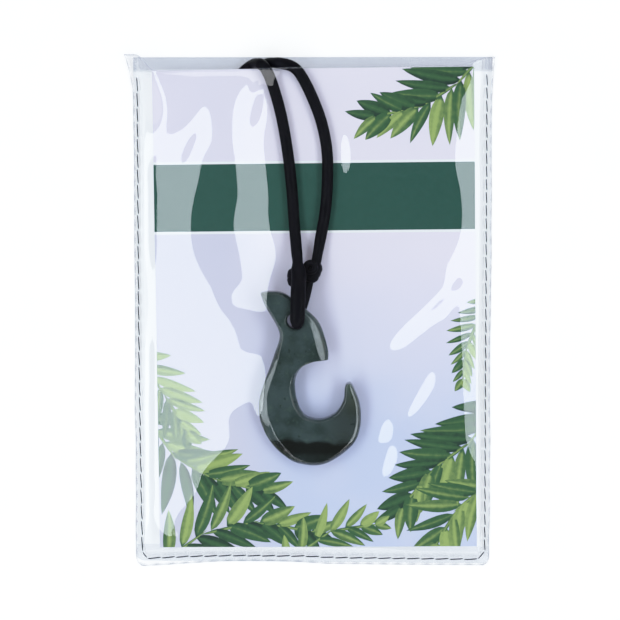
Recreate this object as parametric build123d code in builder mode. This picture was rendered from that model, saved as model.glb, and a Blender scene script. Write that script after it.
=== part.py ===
from build123d import *
from math import atan2, cos, degrees, pi, radians, sin, tan
import os

# A carved stone fish hook on a neck cord, laid on a printed card inside a clear sewn pouch.
# The package lies on its back: X across, Y towards the open mouth, Z up, origin under its middle.

# Card
card_width = 100.0
card_length = 150.0
card_thickness = 0.6
card_turn = 0.65  # degrees, how far the card has turned in the pouch

# Clear film of the pouch, sewn round three sides
film = 0.35
left_room = 7.1  # from the card to the pouch's edge
right_room = 4.9
mouth_room = 3.6
foot_room = 5.6
seam = 1.9  # flat film outside the pocket
wall_run = 1.6  # how far the pocket's side leans in
corner_radius = 2.5
lay_gap = 0.05  # between things that lie on each other

# Cord
cord_diameter = 3.2

# Stone hook
hook_width = 32.1
hook_length = 54.9
hook_thickness = 4.6
hook_left = -16.5  # its left side and its foot, in the package
hook_foot = -47.3
edge_bevel = 1.0  # depth of the polished bevel on each face
widest_bevel = 2.1  # its width on the outer side of the bend
hole_diameter = 5.0
hole_rim = 0.6

# Knots
left_knot_diameter = 4.6
left_knot_length = 5.4
right_knot_diameter = 5.0
right_knot_length = 6.2
knot_waist = 0.35  # depth of the grooves between a knot's turns

# Levels, from the surface up
pouch_width = card_width + left_room + right_room
pouch_length = card_length + mouth_room + foot_room
half_width = pouch_width / 2
half_length = pouch_length / 2
card_bottom = film + cord_diameter + 2 * lay_gap
card_top = card_bottom + card_thickness
card_x = (left_room - right_room) / 2
card_y = (foot_room - mouth_room) / 2
seat = card_top + lay_gap  # what lies on the card starts here
seam_level = film + lay_gap

os.makedirs("parts", exist_ok=True)

# Back film: the flat sheet that the package lies on
with BuildPart() as pouch_back:
    with BuildSketch(Plane.XY):
        Rectangle(pouch_width, pouch_length)
        bottom_corners = vertices().group_by(Axis.Y)[0]
        fillet(bottom_corners, radius=corner_radius)
    extrude(amount=film)
pouch_back.part.label = "pouch_back"
export_step(pouch_back.part, "parts/pouch_back.step")

# Card: a plain sheet of board that rests on the cord behind it
card_plane = Plane(
    origin=(card_x, card_y, card_bottom),
    x_dir=(cos(radians(card_turn)), sin(radians(card_turn)), 0),
    z_dir=(0, 0, 1),
)
with BuildPart() as card:
    with BuildSketch(card_plane):
        Rectangle(card_width, card_length)
    extrude(amount=card_thickness)
card.part.label = "card"
export_step(card.part, "parts/card.step")

# Hook: its outline goes round clockwise, in four stretches that meet at the head's tip, the barb
# and the two sides of the point. Each row is a share of the hook's width from its left side,
# a share of its length from its foot, and a share there of the widest bevel.
head_tip = (0.030, 0.990, 0.48)
barb = (0.680, 0.610, 0.71)
point_inside = (0.843, 0.458, 0.38)
point_outside = (0.917, 0.458, 0.43)
head_to_barb = [
    head_tip,
    (0.110, 0.999, 0.33),
    (0.265, 0.984, 0.29),
    (0.490, 0.885, 0.38),
    (0.605, 0.805, 0.57),
    (0.676, 0.669, 0.67),
    barb,
]
barb_to_point = [
    barb,
    (0.565, 0.605, 0.33),
    (0.424, 0.565, 0.38),
    (0.361, 0.490, 0.38),
    (0.374, 0.380, 0.38),
    (0.450, 0.290, 0.38),
    (0.602, 0.266, 0.38),
    (0.746, 0.302, 0.38),
    (0.825, 0.375, 0.33),
    point_inside,
]
point_tip = [
    point_inside,
    (0.883, 0.478, 0.52),
    point_outside,
]
point_to_head = [
    point_outside,
    (0.986, 0.355, 0.67),
    (0.992, 0.228, 0.76),
    (0.915, 0.118, 0.67),
    (0.670, 0.014, 0.62),
    (0.450, 0.003, 0.67),
    (0.255, 0.051, 0.86),
    (0.044, 0.213, 1.00),
    (0.005, 0.350, 1.00),
    (0.052, 0.468, 0.86),
    (0.108, 0.555, 0.71),
    (0.160, 0.642, 0.57),
    (0.209, 0.735, 0.52),
    (0.183, 0.803, 0.43),
    (0.065, 0.925, 0.38),
    head_tip,
]
hole_share = (0.361, 0.834)

# The head rests on the cord behind it, so the hook tilts about its foot
foot_inset = 1.4  # the flat of the back starts this far from the outline's foot
hole_from_foot = hole_share[1] * hook_length - foot_inset
hook_tilt = degrees(atan2(cord_diameter + 2 * lay_gap, hole_from_foot))
hook_plane = Plane(
    origin=(hook_left, hook_foot + foot_inset, seat),
    x_dir=(1, 0, 0),
    z_dir=(0, -sin(radians(hook_tilt)), cos(radians(hook_tilt))),
)


def on_hook(share):
    """A point of the outline, from its shares to the hook's own plane."""
    return Vector(share[0] * hook_width, share[1] * hook_length - foot_inset)


def moved_in(before, row, after):
    """A point of the outline moved inwards by the width of its bevel."""
    along = (on_hook(after) - on_hook(before)).normalized()
    return on_hook(row) + Vector(along.Y, -along.X) * row[2] * widest_bevel


def stretches(inwards):
    """The outline's four stretches, or those of the flat face inside its bevels."""
    parts = [head_to_barb, barb_to_point, point_tip, point_to_head]
    ring = [row for part in parts for row in part[:-1]]
    count = len(ring)
    points = []
    for i, row in enumerate(ring):
        if inwards:
            points.append(moved_in(ring[i - 1], row, ring[(i + 1) % count]))
        else:
            points.append(on_hook(row))
    points.append(points[0])
    cuts = []
    start = 0
    for part in parts:
        cuts.append(points[start : start + len(part)])
        start += len(part) - 1
    return cuts


with BuildPart() as hook_pendant:
    levels = [0, edge_bevel, hook_thickness - edge_bevel, hook_thickness]
    for level, inwards in zip(levels, (True, False, False, True)):
        with BuildSketch(hook_plane.offset(level)):
            with BuildLine():
                head, throat, tip, back = stretches(inwards)
                Spline(*head)
                Spline(*throat)
                ThreePointArc(*tip)
                Spline(*back)
            make_face()
    loft(ruled=True)
    with Locations(hook_plane.offset(hook_thickness)):
        with Locations(on_hook(hole_share)):
            Hole(radius=hole_diameter / 2)
    rims = edges().filter_by(GeomType.CIRCLE)
    rims = rims.filter_by(lambda rim: abs(rim.radius - hole_diameter / 2) < 0.01)
    chamfer(rims, length=hole_rim)
hook_pendant.part.label = "hook_pendant"
export_step(hook_pendant.part, "parts/hook_pendant.step")
print("hook tilt", round(hook_tilt, 2), "volume", round(hook_pendant.part.volume, 1))

# Cord: one neck loop. From the right knot it goes behind the head and forward through the hole,
# over the left knot, up the card and over its top edge, round behind the card, and back down.
route = [
    (-0.7, 10.15, 6.7),
    (-2.4, 5.2, 6.1),
    (-4.6, -1.5, 5.95),
    (-4.6, -2.1, 14.1),
    (-4.1, 6.0, 14.8),
    (-3.7, 12.5, 12.0),
    (-4.3, 20.0, 7.7),
    (-5.0, 28.0, 5.9),
    (-5.6, 38.0, 5.9),
    (-6.8, 50.0, 5.9),
    (-8.6, 62.0, 5.9),
    (-10.9, 71.0, 5.9),
    (-13.4, 76.0, 7.3),
    (-17.6, 78.0, 6.6),
    (-22.5, 78.0, 2.0),
    (-27.0, 72.5, 2.0),
    (-36.0, 66.5, 2.0),
    (-41.5, 57.0, 2.0),
    (-43.5, 42.0, 2.0),
    (-42.8, 20.0, 2.0),
    (-43.8, -8.0, 2.0),
    (-42.6, -36.0, 2.0),
    (-39.0, -54.0, 2.0),
    (-30.0, -66.0, 2.0),
    (-14.0, -70.0, 2.0),
    (6.0, -68.8, 2.0),
    (24.0, -69.5, 2.0),
    (37.5, -63.5, 2.0),
    (43.5, -50.0, 2.0),
    (45.0, -30.0, 2.0),
    (44.2, 0.0, 2.0),
    (45.2, 28.0, 2.0),
    (43.5, 46.0, 2.0),
    (37.0, 57.5, 2.0),
    (25.0, 62.0, 2.0),
    (11.0, 58.5, 2.0),
    (-3.0, 54.5, 2.0),
    (-14.5, 57.0, 2.0),
    (-20.5, 64.0, 2.0),
    (-20.0, 71.5, 2.0),
    (-16.8, 78.0, 2.0),
    (-10.2, 77.8, 5.9),
    (-5.4, 76.3, 5.9),
    (-2.0, 71.8, 5.9),
    (0.5, 66.5, 5.9),
    (3.0, 59.5, 5.9),
    (4.7, 50.5, 5.9),
    (5.0, 41.0, 5.9),
    (4.6, 32.0, 5.9),
    (3.4, 24.0, 5.9),
    (2.25, 16.6, 6.8),
]
hole_corners = (2, 3)  # the two points where the cord turns tightly round the hole's rims


def route_radii(points):
    """The radius of the arc at each inner point of the route."""
    radii = []
    for i in range(1, len(points) - 1):
        before = Vector(points[i]) - Vector(points[i - 1])
        after = Vector(points[i + 1]) - Vector(points[i])
        half_turn = radians(before.get_angle(after)) / 2
        if i in hole_corners:
            radii.append(cord_diameter)
        else:
            radii.append(0.45 * min(before.length, after.length) / tan(half_turn))
    return radii


radii = route_radii(route)
print("cord radii", [round(radius, 1) for radius in radii])
with BuildPart() as cord:
    with BuildLine() as cord_line:
        FilletPolyline(*route, radius=radii)
    path = cord_line.wire()
    with BuildSketch(Plane(origin=path @ 0, z_dir=path % 0)):
        Circle(cord_diameter / 2)
    sweep()
cord.part.label = "cord"
export_step(cord.part, "parts/cord.step")
cord_section = pi * (cord_diameter / 2) ** 2
print("cord length", round(path.length, 1))
print("cord volume", round(cord.part.volume, 1), "by section", round(cord_section * path.length, 1))


# Knots: barrels of three turns of the cord, each turned about its own axis
right_knot_at = (0.7, 13.3)
right_knot_axis = (-0.41, -0.91, 0)
left_knot_at = (-5.35, 11.0)
left_knot_axis = (0.05, -1.0, 0)
knots = [
    ("knot_right", right_knot_at, right_knot_axis, right_knot_diameter, right_knot_length),
    ("knot_left", left_knot_at, left_knot_axis, left_knot_diameter, left_knot_length),
]
for name, place, axis, diameter, length in knots:
    outer = diameter / 2
    groove = outer - knot_waist
    turn = length / 3
    middle = (place[0], place[1], seat + outer)
    across = Vector(*axis).cross(Vector(0, 0, 1))
    with BuildPart() as knot:
        with BuildSketch(Plane(origin=middle, x_dir=(0, 0, 1), z_dir=across)):
            with BuildLine():
                Polyline(
                    (groove, -length / 2),
                    (0, -length / 2),
                    (0, length / 2),
                    (groove, length / 2),
                )
                for i in range(3):
                    low = -length / 2 + i * turn
                    ThreePointArc((groove, low), (outer, low + turn / 2), (groove, low + turn))
            make_face()
        revolve(axis=Axis(middle, axis))
    knot.part.label = name
    export_step(knot.part, f"parts/{name}.step")

# Front film: a thin roof over the card and the hook, sewn flat at its sides and foot and open at
# the mouth. Each station is a share of the pouch's length from its foot and a share of the rise of
# the crest over the head.
film_stations = [
    (0.085, 0.34),
    (0.198, 0.58),
    (0.343, 0.78),
    (0.475, 1.00),
    (0.556, 1.00),
    (0.638, 0.72),
    (0.814, 0.58),
    (1.000, 0.60),
]
film_room = 1.3  # above the cord at the head
wall_clear = 0.65  # above the card at the pocket's sides
wall_slip = 0.7 * film  # keeps the film's thickness in its steep sides
sewn_puff = 0.03  # how far the sewn foot stands off the back film
foot_share = 0.09  # the crest's share of its rise where the sides reach their full height
foot_clear = 0.9  # from there to the card's foot
crest_rise = hole_from_foot * sin(radians(hook_tilt)) + hook_thickness + cord_diameter + film_room
wall_top = seat + wall_clear
sewn_wall = seam_level + sewn_puff
sewn_crest = seam_level + 2 * sewn_puff
sections = [
    (-half_length, sewn_wall, sewn_crest),
    (-half_length + seam, sewn_wall, sewn_crest),
    (-half_length + foot_room - foot_clear, wall_top, seat + foot_share * crest_rise),
]
for along, up in film_stations:
    sections.append((-half_length + along * pouch_length, wall_top, seat + up * crest_rise))


def film_line(wall, crest, lift, slip):
    """The corners and the crown of the film's lower or upper side, from right to left."""
    right = [
        (half_width, seam_level + lift),
        (half_width - seam + slip, seam_level + lift),
        (half_width - seam - wall_run + slip, wall + lift),
    ]
    left = [(-x, z) for x, z in reversed(right)]
    return right, (0, crest + lift), left


with BuildPart() as pouch_front:
    for along, wall, crest in sections:
        under = film_line(wall, crest, 0, 0)
        over = film_line(wall, crest, film, wall_slip)
        with BuildSketch(Plane.XZ.offset(-along)):
            with BuildLine():
                for right, crown, left in (under, over):
                    Polyline(*right)
                    ThreePointArc(right[-1], crown, left[0])
                    Polyline(*left)
                Line(under[0][0], over[0][0])
                Line(under[2][-1], over[2][-1])
            make_face()
    loft(ruled=True)
    with BuildSketch(Plane.XY):
        Rectangle(pouch_width, pouch_length)
        fillet(vertices().group_by(Axis.Y)[0], radius=corner_radius)
    extrude(amount=2 * crest_rise, mode=Mode.INTERSECT)
pouch_front.part.label = "pouch_front"
export_step(pouch_front.part, "parts/pouch_front.step")
print("pouch front volume", round(pouch_front.part.volume, 1))
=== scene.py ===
# %% [markdown]
# # A stone fish hook in its clear pouch
#
# This notebook dresses a finished CAD model of a small package: a carved stone fish hook on a black
# neck cord, laid on a printed card inside a clear sewn pouch. The CAD model gives every place and
# size. Here each part gets the surface, the thread and the folds that the eye expects.

# %% Load the frame
from math import atan2, cos, degrees, exp, pi, radians, sin, tan

import bmesh
import bpy
from mathutils import Matrix, Vector, noise


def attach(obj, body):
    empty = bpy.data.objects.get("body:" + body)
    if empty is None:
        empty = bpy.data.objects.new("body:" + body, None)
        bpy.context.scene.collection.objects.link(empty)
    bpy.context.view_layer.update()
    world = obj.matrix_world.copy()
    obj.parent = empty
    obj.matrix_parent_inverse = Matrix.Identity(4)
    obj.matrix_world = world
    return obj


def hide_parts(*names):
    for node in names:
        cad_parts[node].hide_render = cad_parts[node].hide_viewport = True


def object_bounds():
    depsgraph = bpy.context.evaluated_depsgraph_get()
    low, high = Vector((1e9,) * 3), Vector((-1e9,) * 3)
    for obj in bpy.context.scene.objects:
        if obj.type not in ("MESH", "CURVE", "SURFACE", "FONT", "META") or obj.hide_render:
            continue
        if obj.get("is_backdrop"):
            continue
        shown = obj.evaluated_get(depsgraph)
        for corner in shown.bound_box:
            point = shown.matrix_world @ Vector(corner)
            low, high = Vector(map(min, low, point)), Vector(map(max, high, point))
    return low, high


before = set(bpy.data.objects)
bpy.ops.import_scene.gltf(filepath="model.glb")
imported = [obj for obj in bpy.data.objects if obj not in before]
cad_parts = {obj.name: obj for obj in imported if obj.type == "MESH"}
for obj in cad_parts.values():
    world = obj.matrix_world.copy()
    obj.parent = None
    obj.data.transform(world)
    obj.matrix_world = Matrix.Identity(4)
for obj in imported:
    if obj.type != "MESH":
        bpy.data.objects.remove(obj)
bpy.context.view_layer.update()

MM = 0.001

# %% [markdown]
# The camera looks almost straight down on the card, from a little towards its top right. A long lens
# keeps the card's sides nearly parallel.

# %% Camera
SENSOR, LENS = 36.0, 131.25
CAMERA_AT = (28.48, 58.80, 707.54)


def in_scene(name, data):
    """A new object in the scene."""
    made = bpy.data.objects.new(name, data)
    bpy.context.scene.collection.objects.link(made)
    return made


camera_data = bpy.data.cameras.new("camera")
camera_data.sensor_width = SENSOR
camera_data.lens = LENS
camera = in_scene("camera", camera_data)
looking = Vector((-0.0411, -0.0820, -0.9958)).normalized()
upwards = Vector((-0.0034, 0.9966, -0.0819))
rightwards = looking.cross(upwards).normalized()
upwards = rightwards.cross(looking)
turn = Matrix((rightwards, upwards, -looking)).transposed().to_4x4()
camera.matrix_world = Matrix.Translation(Vector(CAMERA_AT) * MM) @ turn
bpy.context.scene.camera = camera
print("camera height in mm", round(camera.location.z / MM, 1))

# %% [markdown]
# Shaders are written here as sums. A `Wire` stands for one output of a node, and adding or
# multiplying wires adds the Math nodes that do it. A `Finish` is one material, and its `add` makes
# any other node from its settings and the values of its sockets.


# %% Wires and finishes
class Wire:
    """One output of a node, which can be used in sums."""

    def __init__(self, finish, node, output=0):
        self.finish = finish
        self.node = node
        self.socket = node.outputs[output]

    def out(self, output):
        return Wire(self.finish, self.node, output)

    def maths(self, operation, *values):
        sockets = dict(enumerate(values))
        return self.finish.add("ShaderNodeMath", {"operation": operation}, sockets)

    def __add__(self, other):
        return self.maths("ADD", self, other)

    def __radd__(self, other):
        return self.maths("ADD", other, self)

    def __sub__(self, other):
        return self.maths("SUBTRACT", self, other)

    def __rsub__(self, other):
        return self.maths("SUBTRACT", other, self)

    def __mul__(self, other):
        return self.maths("MULTIPLY", self, other)

    def __rmul__(self, other):
        return self.maths("MULTIPLY", other, self)

    def power(self, exponent):
        return self.maths("POWER", self, exponent)

    def size(self):
        return self.maths("ABSOLUTE", self)

    def ramp(self, low, high, start=0.0, end=1.0):
        """start where the value is low, end where it is high, and a smooth change between."""
        settings = {"interpolation_type": "SMOOTHSTEP"}
        sockets = {"Value": self, "From Min": low, "From Max": high, "To Min": start, "To Max": end}
        return self.finish.add("ShaderNodeMapRange", settings, sockets)


class Finish:
    """One material, made of nodes."""

    def __init__(self, name):
        self.material = bpy.data.materials.new(name)
        self.material.use_nodes = True
        self.nodes = self.material.node_tree.nodes
        self.links = self.material.node_tree.links
        self.nodes.clear()
        self.end = self.nodes.new("ShaderNodeOutputMaterial")

    def add(self, kind, settings=None, sockets=None):
        node = self.nodes.new(kind)
        for key, value in (settings or {}).items():
            setattr(node, key, value)
        for key, value in (sockets or {}).items():
            if isinstance(value, Wire):
                self.links.new(value.socket, node.inputs[key])
            else:
                node.inputs[key].default_value = value
        return Wire(self, node)

    def point(self):
        """The point of the object that is being shaded."""
        return self.add("ShaderNodeTexCoord").out("Object")

    def place(self):
        """That point, then its x, y and z in metres."""
        point = self.point()
        split = self.add("ShaderNodeSeparateXYZ", None, {0: point})
        return point, split.out("X"), split.out("Y"), split.out("Z")

    def clouds(self, point, scale, detail=3.0, roughness=0.55, stretch=(1, 1, 1)):
        """Soft noise between 0 and 1, stretched along the axes."""
        mapped = self.add("ShaderNodeMapping", None, {"Vector": point, "Scale": stretch})
        sockets = {"Vector": mapped, "Scale": scale, "Detail": detail, "Roughness": roughness}
        return self.add("ShaderNodeTexNoise", None, sockets)

    def blend(self, factor, first, second):
        """first where the factor is 0, second where it is 1. A colour mix has them at 6 and 7."""
        settings = {"data_type": "RGBA", "clamp_factor": True}
        sockets = {0: factor, 6: first, 7: second}
        return self.add("ShaderNodeMix", settings, sockets).out(2)

    def bump(self, height, depth):
        sockets = {"Height": height, "Strength": 1.0, "Distance": depth}
        return self.add("ShaderNodeBump", None, sockets)

    def surface(self, sockets):
        return self.show(self.add("ShaderNodeBsdfPrincipled", None, sockets))

    def show(self, shader):
        self.links.new(shader.socket, self.end.inputs["Surface"])
        return self.material


def shade(red, green, blue):
    """A colour as seen on a screen, from 0 to 255, turned to the light it sends back."""
    linear = [((v / 255 + 0.055) / 1.055) ** 2.4 if v > 10 else v / 3295 for v in (red, green, blue)]
    return (*linear, 1.0)


print("a mid grey sends back", round(shade(128, 128, 128)[0], 3))

# %% [markdown]
# The light is a photographer's: two tall soft boxes, one each side of the camera, and four large pale
# screens further out, at the sides, the top and the foot. Clear vinyl shows a soft box as a pale
# patch with a crisp edge wherever the film leans the right way, so the boxes' places matter as much
# as their strength. The floor is a plain white table that glows a little, as a light table does.


# %% Lights and floor
def soft_box(name, across, along, distance, width, height, glow, colour):
    """A panel that faces the object. across and along are its angles from straight above, its sizes
    are in metres, and glow is how bright it looks."""
    data = bpy.data.lights.new(name, "AREA")
    data.shape = "RECTANGLE"
    data.size = width
    data.size_y = height
    data.energy = glow * pi * width * height
    data.color = colour
    way = Vector((tan(radians(across)), tan(radians(along)), 1)).normalized()
    side = Vector((0, 1, 0)).cross(way).normalized()
    turn = Matrix((side, way.cross(side), way)).transposed().to_4x4()
    in_scene(name, data).matrix_world = Matrix.Translation(way * distance) @ turn


cool, pale, warm = (0.82, 0.93, 1.0), (0.95, 0.97, 1.0), (1.0, 0.95, 0.88)
soft_box("left_box", -35, -6, 1.0, 0.33, 1.25, 4.9, cool)
soft_box("right_box", 37, -8, 1.0, 0.30, 1.25, 4.9, cool)
soft_box("left_screen", -64, -20, 1.2, 0.5, 1.3, 0.9, warm)
soft_box("right_screen", 64, 0, 1.2, 0.5, 1.3, 0.9, warm)
soft_box("top_screen", 0, 47, 1.2, 1.3, 0.5, 2.3, pale)
soft_box("foot_screen", 0, -52, 1.2, 1.3, 0.5, 2.3, pale)

world = bpy.data.worlds.new("studio")
world.use_nodes = True
room = world.node_tree.nodes["Background"].inputs
room["Color"].default_value = (0.93, 0.95, 1.0, 1)
room["Strength"].default_value = 0.05
bpy.context.scene.world = world

# %% [markdown]
# The brightest tones roll off softly in the view, as film and print do, so that clear vinyl still
# shows against a white table. The curve's points give a light and the tone that it is shown as.

# %% Tones and floor
WHITE, FLOOR_LEVEL, FLOOR_GLOW = 1.5, -0.03, 0.42
view = bpy.context.scene.view_settings
view.view_transform = "Standard"
view.use_curve_mapping = True
view.curve_mapping.white_level = (WHITE, WHITE, WHITE)
for light, tone in ((0.6, 0.6), (0.75, 0.72), (1.0, 0.86), (1.25, 0.95)):
    view.curve_mapping.curves[3].points.new(light / WHITE, tone)
view.curve_mapping.update()

floor_mesh = bpy.data.meshes.new("floor")
floor_grid = bmesh.new()
bmesh.ops.create_grid(floor_grid, x_segments=1, y_segments=1, size=1.5)
bmesh.ops.translate(floor_grid, vec=(0, 0, FLOOR_LEVEL * MM), verts=floor_grid.verts[:])
floor_grid.to_mesh(floor_mesh)
floor_grid.free()
floor = in_scene("floor", floor_mesh)
floor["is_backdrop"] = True
white = Finish("white_table")
speckle = white.clouds(white.point(), 60.0).ramp(0.3, 0.7, 0.94, 0.97)
off_white = white.blend(speckle, (0, 0, 0, 1), (1, 1, 1, 1))
# the glow keeps every shadow on the table light
glow = {"Emission Color": (1, 1, 1, 1), "Emission Strength": FLOOR_GLOW}
floor.data.materials.append(white.surface({"Base Color": off_white, "Roughness": 0.9, **glow}))
print("points of the tone curve", len(view.curve_mapping.curves[3].points))

# %% [markdown]
# Every piece is made the same way: a bmesh is shaped, written to a mesh, shaded smooth, given its
# finish and tied to the package's one body.


# %% Making a piece
def piece(name, shape, finish, smooth=True):
    """Turns a bmesh into a named object that rides on the package."""
    bmesh.ops.recalc_face_normals(shape, faces=shape.faces[:])
    mesh = bpy.data.meshes.new(name)
    shape.to_mesh(mesh)
    shape.free()
    mesh.polygons.foreach_set("use_smooth", [smooth] * len(mesh.polygons))
    mesh.materials.append(finish)
    made = in_scene(name, mesh)
    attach(made, "root")
    print(name, "faces", len(mesh.polygons))
    return made


def final_mesh(made):
    """A copy of an object's mesh, with its modifiers or its line's section in it."""
    graph = bpy.context.evaluated_depsgraph_get()
    return bpy.data.meshes.new_from_object(made.evaluated_get(graph))


def bake(made):
    """Applies an object's modifiers to its mesh."""
    mesh = final_mesh(made)
    made.modifiers.clear()
    old = made.data
    made.data = mesh
    bpy.data.meshes.remove(old)


def through(points, at):
    """A smooth line through points, read at a place such as 2.4, between points 2 and 3."""
    i = min(int(at), len(points) - 2)
    t = at - i
    a, b = Vector(points[i]), Vector(points[i + 1])
    before = Vector(points[i - 1]) if i > 0 else a * 2 - b
    after = Vector(points[i + 2]) if i + 2 < len(points) else b * 2 - a
    start, end = (b - before) / 2, (after - a) / 2
    return (
        a * (2 * t**3 - 3 * t**2 + 1)
        + start * (t**3 - 2 * t**2 + t)
        + b * (3 * t**2 - 2 * t**3)
        + end * (t**3 - t**2)
    )


def ease(value):
    """0 below 0, 1 above 1 and a smooth change between."""
    value = max(0.0, min(1.0, value))
    return value * value * (3 - 2 * value)


print("the middle of a line", through([(0, 0), (1, 0), (2, 0)], 1.5))

# %% [markdown]
# The card is plain coated board. Its print is a soft sky, paler at the top, with one dark green band
# edged in white. The band and the sky are sums of the place on the card, so they need no picture.

# %% Card
card_turn = radians(0.65)
card_centre = Vector((1.1, 1.0)) * MM
card_top = 4.25 * MM
print_side = Finish("printed_board")
point, x, y, z = print_side.place()
along = (y - card_centre.y) * cos(card_turn) - (x - card_centre.x) * sin(card_turn)
across = (x - card_centre.x) * cos(card_turn) + (y - card_centre.y) * sin(card_turn)
cloud = print_side.clouds(point, 14.0, 2.0, 0.5, (1, 1.3, 1))
up_the_sky = along + (cloud - 0.5) * 0.03 + across * 0.1
sky = print_side.blend(up_the_sky.ramp(-0.04, 0.024), shade(197, 205, 240), shade(233, 226, 245))
haze = print_side.clouds(point, 40.0, 3.0)
sky = print_side.blend(haze.ramp(0.45, 0.75, 0.0, 0.28), sky, shade(222, 219, 241))
# painted shadow: the sky is made darker at the left of the card, more so below the band
painted_shadow_left = across.ramp(-4 * MM, -30 * MM) * along.ramp(40 * MM, 20 * MM, 0.35, 1)
sky = print_side.blend(painted_shadow_left, sky, shade(208, 206, 230))
# the band's middle, half its width, its white edge and the softness of its outline
band_middle, band_half, band_edge, soft = 35.2 * MM, 10.5 * MM, 0.75 * MM, 0.1 * MM
off_band = (along - band_middle).size()
edged = off_band.ramp(band_half + band_edge - soft, band_half + band_edge + soft, 1, 0)
inked = off_band.ramp(band_half - soft, band_half + soft, 1, 0)
ink = print_side.blend(print_side.clouds(point, 500.0), shade(33, 73, 63), shade(39, 81, 71))
face = print_side.blend(inked, print_side.blend(edged, sky, shade(244, 247, 252)), ink)
top_face = z.ramp(card_top - 0.1 * MM, card_top - 0.03 * MM)
whole = print_side.blend(top_face, shade(232, 232, 236), face)
gloss = print_side.clouds(point, 900.0).ramp(0.3, 0.7, 0.34, 0.42)
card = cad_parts["card"]
board = print_side.surface({"Base Color": whole, "Roughness": gloss})
for slot in card.material_slots:
    slot.material = board
print("card slots", len(card.material_slots))

# %% [markdown]
# Leafy twigs are printed round the card's edge. Each leaf starts as a small grid whose rows are
# pinched to a point at both ends, and a twig carries them in pairs along a bent stem. The ink is a
# fiftieth of a millimetre thick, and each leaf lies a little over the one before it.

# %% A leaf and a twig
INK = 0.02
leaves = bmesh.new()
tint = leaves.verts.layers.float.new("tint")


def leaf(root, way, length, width, tone, bend):
    """One pointed leaf from its root. way is its direction in degrees, bend how far its tip sags."""
    level = 0.012 + 0.00012 * (len(leaves.verts) // 50)  # 50 points to a leaf
    grid = bmesh.ops.create_grid(leaves, x_segments=9, y_segments=4, size=0.5)
    turned = Matrix.Rotation(radians(way), 3, "Z")
    for vert in grid["verts"]:
        s, t = vert.co.x + 0.5, vert.co.y * 2
        half = width / 2 * sin(pi * s**0.75) ** 0.8 if 0 < s < 1 else 0.0
        flat = Vector((s * length, t * half - bend * s * s * length, 0))
        vert.co = turned @ flat + Vector((*root, 0))
        vert.co.z = level
        vert[tint] = tone + (0.35 if abs(t) < 0.1 else 0.0) + 0.15 * s - 0.1 * t


def spray(stem, count, length, width, spread, tones):
    """A twig: its stem through points on the card in millimetres, and leaves in pairs along it."""
    for a, b in zip(stem, stem[1:]):
        run = Vector(b) - Vector(a)
        leaf(a, degrees(atan2(run.y, run.x)), run.length * 1.15, 1.1, 0.6, 0)
    for i in range(count):
        share = i / (count - 1)
        at = share * (len(stem) - 1)
        here = through(stem, min(at, len(stem) - 1.001))
        ahead = through(stem, min(at + 0.05, len(stem) - 1))
        heading = degrees(atan2(ahead.y - here.y, ahead.x - here.x))
        size = length * (0.55 + 0.45 * sin(pi * min(1, share * 0.8 + 0.2))) * (1 + 0.12 * sin(7 * i))
        for side in (-1, 1):
            way = heading + side * (spread * (1 - 0.6 * share) + 6 * sin(5 * i + side))
            tone = tones[(i * 2 + (side > 0)) % len(tones)]
            leaf(here, way, size, width * (1 + 0.2 * sin(3 * i)), tone, -0.12 * side)


print("thickness of the ink in mm", INK)

# %% [markdown]
# Eight twigs are set round the edge, lighter and darker ones by turns. Then the print is cut to the
# card's edges and kept off the band.


# %% The twigs of the print
def trim(edge_point, outwards, keep):
    """Cuts away what lies beyond an edge of the print, among the leaves that keep() picks."""
    faces = [f for f in leaves.faces if keep(f.calc_center_median())]
    edges = dict.fromkeys(e for f in faces for e in f.edges)  # in order, the same in each run
    verts = dict.fromkeys(v for f in faces for v in f.verts)
    cut, at, way = [*verts, *edges, *faces], (*edge_point, 0), (*outwards, 0)
    bmesh.ops.bisect_plane(leaves, geom=cut, plane_co=at, plane_no=way, clear_outer=True)


light_tones = [0.55, 0.8, 0.35, 0.7, 0.45, 0.9]
dark_tones = [0.15, 0.4, 0.2, 0.62, 0.3, 0.8]
spray([(53, 79), (45, 70), (34, 63), (20, 60)], 11, 17, 4.0, 50, dark_tones)
spray([(54, 3), (50, -5), (47, -13), (46, -22)], 10, 8.5, 2.1, 52, light_tones)
spray([(57, -30), (48, -42), (37, -50), (27, -62)], 11, 18, 4.2, 48, dark_tones)
spray([(53, -56), (44, -63), (35, -78)], 8, 16, 3.8, 44, light_tones)
spray([(-53, -34), (-45, -46), (-33, -53), (-18, -57)], 11, 18, 4.2, 48, dark_tones)
spray([(-52, -82), (-37, -71), (-20, -67), (-2, -70)], 11, 16, 4.0, 46, dark_tones)
spray([(-56, -14), (-48, -26), (-41, -38)], 8, 13, 3.2, 44, light_tones)
spray([(-10, -80), (4, -70), (18, -68)], 7, 11, 3.0, 46, light_tones)

PRINT_HALF_WIDTH, PRINT_HALF_LENGTH, BAND_TOP, BAND_FOOT = 49.95, 74.95, 46.7, 23.7
for side in (1, -1):
    trim((side * PRINT_HALF_WIDTH, 0), (side, 0), lambda c: True)
for side in (1, -1):
    trim((0, side * PRINT_HALF_LENGTH), (0, side), lambda c: True)
trim((0, BAND_TOP), (0, -1), lambda c: c.y > 35)
trim((0, BAND_FOOT), (0, 1), lambda c: c.y < 35)
sheet_turn = Matrix.Rotation(card_turn, 4, "Z")
bmesh.ops.remove_doubles(leaves, verts=leaves.verts[:], dist=0.0005)
bmesh.ops.solidify(leaves, geom=leaves.faces[:], thickness=-INK)
bmesh.ops.scale(leaves, vec=(MM, MM, MM), verts=leaves.verts[:])
bmesh.ops.transform(leaves, matrix=sheet_turn, verts=leaves.verts[:])
bmesh.ops.translate(leaves, vec=(card_centre.x, card_centre.y, card_top), verts=leaves.verts[:])

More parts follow.
